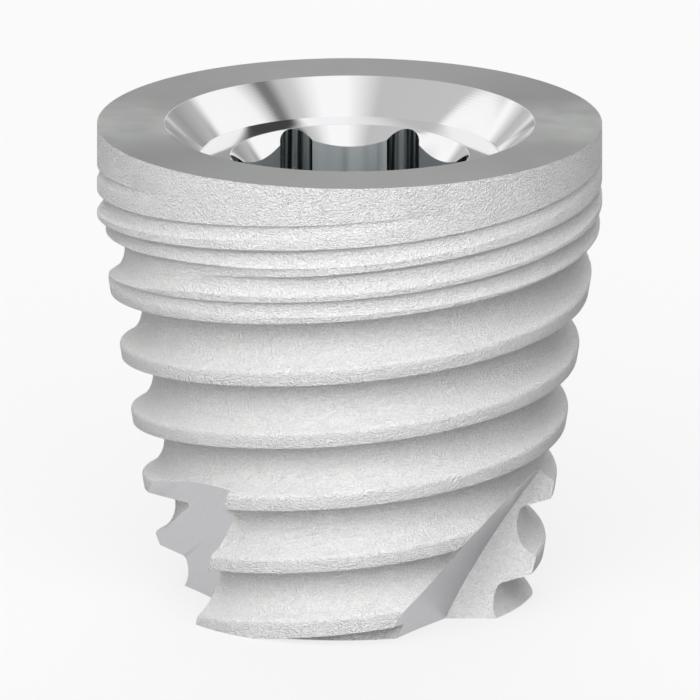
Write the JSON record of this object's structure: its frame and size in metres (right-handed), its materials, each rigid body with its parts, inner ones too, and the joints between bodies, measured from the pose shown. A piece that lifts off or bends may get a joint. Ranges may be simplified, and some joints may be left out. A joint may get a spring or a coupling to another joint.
{
  "type": "dental implant",
  "caption": "Wide, short, tapered threaded dental implant with a smooth collar, fine upper grooves, deep buttress thread, cutting flutes and a bevelled internal hexagonal socket.",
  "frame": {"origin": "centre of the flat apex, on the axis of the implant", "axes": "+Z along the axis, out of the socket; -Y is the side that the picture shows, and one flat of the hexagonal socket faces it across the socket, at +Y"},
  "size_m": [0.007, 0.007, 0.0068],
  "materials": {
    "blasted_titanium": "titanium, grit-blasted and acid-etched outside, machined on the platform and polished in the connection"
  },
  "bodies": {
    "root": {"implant_fixture": "blasted_titanium"}
  },
  "joints": []
}
